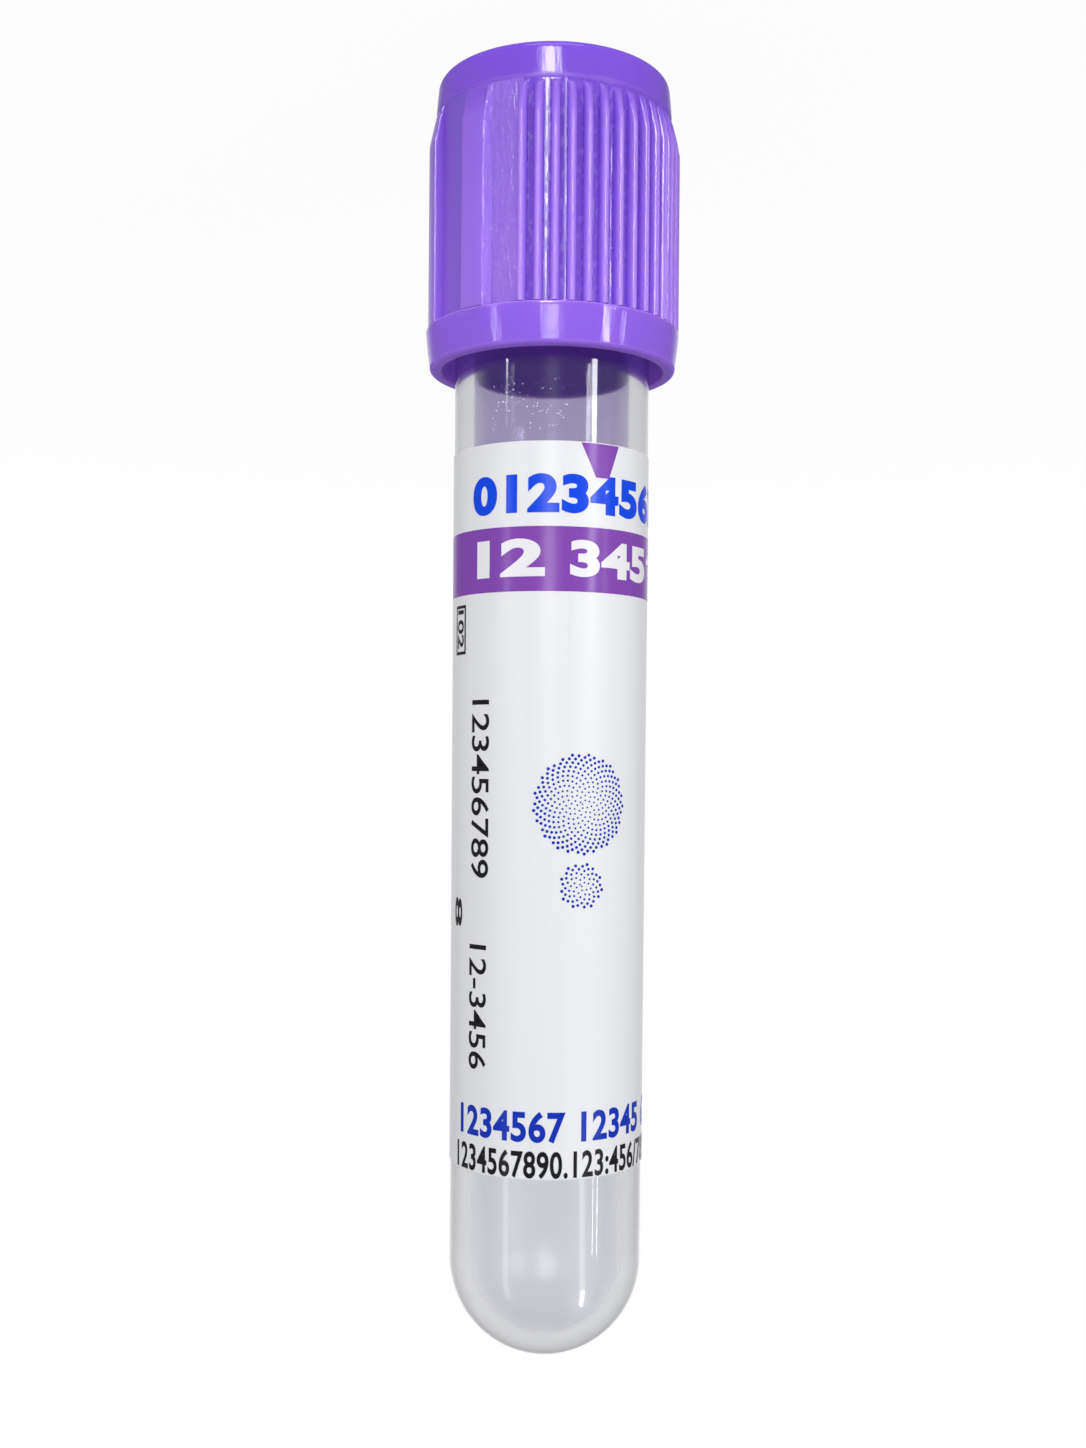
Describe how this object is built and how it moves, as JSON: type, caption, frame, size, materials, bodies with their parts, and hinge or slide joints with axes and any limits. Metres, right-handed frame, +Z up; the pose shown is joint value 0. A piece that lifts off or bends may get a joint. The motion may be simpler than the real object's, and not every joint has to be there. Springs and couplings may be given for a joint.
{
  "type": "blood collection tube",
  "caption": "Clear round-bottomed sample tube with a wrap-around label, closed by a rubber stopper inside a ribbed violet pull-off cap; it stands on its cap, round bottom up.",
  "frame": {"origin": "on the surface that the cap's flat top stands on, on the tube's axis", "axes": "+Z up the tube from its cap's top to its round bottom, -Y out of the printed front, +X to the right of someone facing that front with the cap down"},
  "size_m": [0.0168, 0.0168, 0.0843],
  "materials": {
    "clear_tube": "clear moulded PET, glossy",
    "printed_label": "white self-adhesive film with a soft sheen, printed in violet, blue and black",
    "stopper_rubber": "grey butyl rubber, matt",
    "violet_cap": "violet polyethylene, glossy bands and ribs with fine-textured floors between the ribs"
  },
  "bodies": {
    "cap": {"cap": "violet_cap"},
    "stopper": {"stopper": "stopper_rubber"},
    "tube": {"tube": "clear_tube", "label": "printed_label"}
  },
  "joints": [
    {"name": "cap_twist", "type": "hinge", "parent": "cap", "child": "stopper", "pos_m": [0, 0, 0.005], "axis": [0, 0, 1], "continuous": true},
    {"name": "cap_pull", "type": "slide", "parent": "stopper", "child": "tube", "axis": [0, 0, 1], "range_m": [0, 0.025]}
  ]
}
